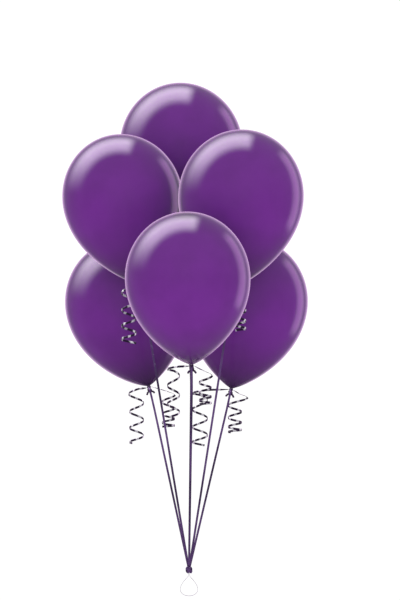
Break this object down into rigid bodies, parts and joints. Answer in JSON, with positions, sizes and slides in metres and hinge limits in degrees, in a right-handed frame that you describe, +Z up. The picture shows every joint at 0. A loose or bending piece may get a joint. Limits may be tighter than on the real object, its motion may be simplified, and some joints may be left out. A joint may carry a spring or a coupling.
{
  "type": "latex balloon bouquet",
  "caption": "Bunch of pear-shaped latex balloons, each knotted and tied to a straight ribbon with curled tails, gathered in one knot above a hand loop.",
  "frame": {"origin": "the foot of the hand loop, where a hand, hook or weight holds the bunch", "axes": "+Z up towards the balloons, +X to the right seen from the front, +Y to the back, so the front balloon is at -Y"},
  "size_m": [0.5832, 0.8178, 1.2193],
  "materials": {
    "latex": "gloss",
    "neck_latex": "satin",
    "ribbon": "gloss"
  },
  "bodies": {
    "hand_loop_body": {"hand_loop": "ribbon"},
    "gather": {"gather_knot": "ribbon", "top_ribbon": "ribbon", "top_left_curl": "ribbon", "top_right_curl": "ribbon"},
    "front_line": {"front_ribbon": "ribbon", "front_left_curl": "ribbon", "front_right_curl": "ribbon"},
    "front_balloon": {"front_skin": "latex", "front_neck_knot": "neck_latex", "front_rolled_rim": "neck_latex", "front_ribbon_tie": "ribbon"},
    "upper_left_line": {"upper_left_ribbon": "ribbon", "upper_left_left_curl": "ribbon", "upper_left_right_curl": "ribbon"},
    "upper_left_balloon": {"upper_left_skin": "latex", "upper_left_neck_knot": "neck_latex", "upper_left_rolled_rim": "neck_latex", "upper_left_ribbon_tie": "ribbon"},
    "upper_right_line": {"upper_right_ribbon": "ribbon", "upper_right_left_curl": "ribbon", "upper_right_right_curl": "ribbon"},
    "upper_right_balloon": {"upper_right_skin": "latex", "upper_right_neck_knot": "neck_latex", "upper_right_rolled_rim": "neck_latex", "upper_right_ribbon_tie": "ribbon"},
    "top_balloon": {"top_skin": "latex", "top_neck_knot": "neck_latex", "top_rolled_rim": "neck_latex", "top_ribbon_tie": "ribbon"},
    "lower_left_line": {"lower_left_ribbon": "ribbon", "lower_left_left_curl": "ribbon", "lower_left_right_curl": "ribbon"},
    "lower_left_balloon": {"lower_left_skin": "latex", "lower_left_neck_knot": "neck_latex", "lower_left_rolled_rim": "neck_latex", "lower_left_ribbon_tie": "ribbon"},
    "lower_right_line": {"lower_right_ribbon": "ribbon", "lower_right_left_curl": "ribbon", "lower_right_right_curl": "ribbon"},
    "lower_right_balloon": {"lower_right_skin": "latex", "lower_right_neck_knot": "neck_latex", "lower_right_rolled_rim": "neck_latex", "lower_right_ribbon_tie": "ribbon"}
  },
  "joints": [
    {"name": "bunch_lean", "type": "hinge", "parent": "hand_loop_body", "child": "gather", "pos_m": [0, 0, 0.062], "axis": [0, 1, 0], "range_deg": [-15, 15], "stiffness_Nm_per_rad": 0.87},
    {"name": "front_sway", "type": "hinge", "parent": "gather", "child": "front_line", "pos_m": [0, 0, 0.062], "axis": [1, 0, 0], "range_deg": [0, 25], "stiffness_Nm_per_rad": 0.11, "springref_deg": -18.91},
    {"name": "front_tilt", "type": "hinge", "parent": "front_line", "child": "front_balloon", "pos_m": [0.0065, -0.165, 0.5435], "axis": [1, 0, 0], "range_deg": [0, 12], "stiffness_Nm_per_rad": 0.034, "springref_deg": -18.91},
    {"name": "upper_left_sway", "type": "hinge", "parent": "gather", "child": "upper_left_line", "pos_m": [0, 0, 0.062], "axis": [0, -1, 0], "range_deg": [0, 25], "stiffness_Nm_per_rad": 0.11, "springref_deg": -10.89},
    {"name": "upper_left_tilt", "type": "hinge", "parent": "upper_left_line", "child": "upper_left_balloon", "pos_m": [-0.113, 0.0405, 0.7265], "axis": [0, -1, 0], "range_deg": [0, 12], "stiffness_Nm_per_rad": 0.034, "springref_deg": -9.17},
    {"name": "upper_right_sway", "type": "hinge", "parent": "gather", "child": "upper_right_line", "pos_m": [0, 0, 0.062], "axis": [0.2425, 0.9701, 0], "range_deg": [0, 25], "stiffness_Nm_per_rad": 0.11, "springref_deg": -9.17},
    {"name": "upper_right_tilt", "type": "hinge", "parent": "upper_right_line", "child": "upper_right_balloon", "pos_m": [0.1, -0.0265, 0.7175], "axis": [0.2425, 0.9701, 0], "range_deg": [0, 12], "stiffness_Nm_per_rad": 0.034, "springref_deg": -5.73},
    {"name": "top_tilt", "type": "hinge", "parent": "gather", "child": "top_balloon", "pos_m": [0.008, 0.2325, 0.8485], "axis": [0, 1, 0], "range_deg": [0, 12], "stiffness_Nm_per_rad": 0.034, "springref_deg": -11.46},
    {"name": "lower_left_sway", "type": "hinge", "parent": "gather", "child": "lower_left_line", "pos_m": [0, 0, 0.062], "axis": [-0.7071, -0.7071, 0], "range_deg": [0, 25], "stiffness_Nm_per_rad": 0.11, "springref_deg": -24.64},
    {"name": "lower_left_tilt", "type": "hinge", "parent": "lower_left_line", "child": "lower_left_balloon", "pos_m": [-0.097, 0.168, 0.4845], "axis": [0, -1, 0], "range_deg": [0, 12], "stiffness_Nm_per_rad": 0.034, "springref_deg": -13.18},
    {"name": "lower_right_sway", "type": "hinge", "parent": "gather", "child": "lower_right_line", "pos_m": [0, 0, 0.062], "axis": [-0.7071, 0.7071, 0], "range_deg": [0, 25], "stiffness_Nm_per_rad": 0.11, "springref_deg": -20.05},
    {"name": "lower_right_tilt", "type": "hinge", "parent": "lower_right_line", "child": "lower_right_balloon", "pos_m": [0.0995, 0.1105, 0.4805], "axis": [0, 1, 0], "range_deg": [0, 12], "stiffness_Nm_per_rad": 0.034, "springref_deg": -8.59}
  ]
}
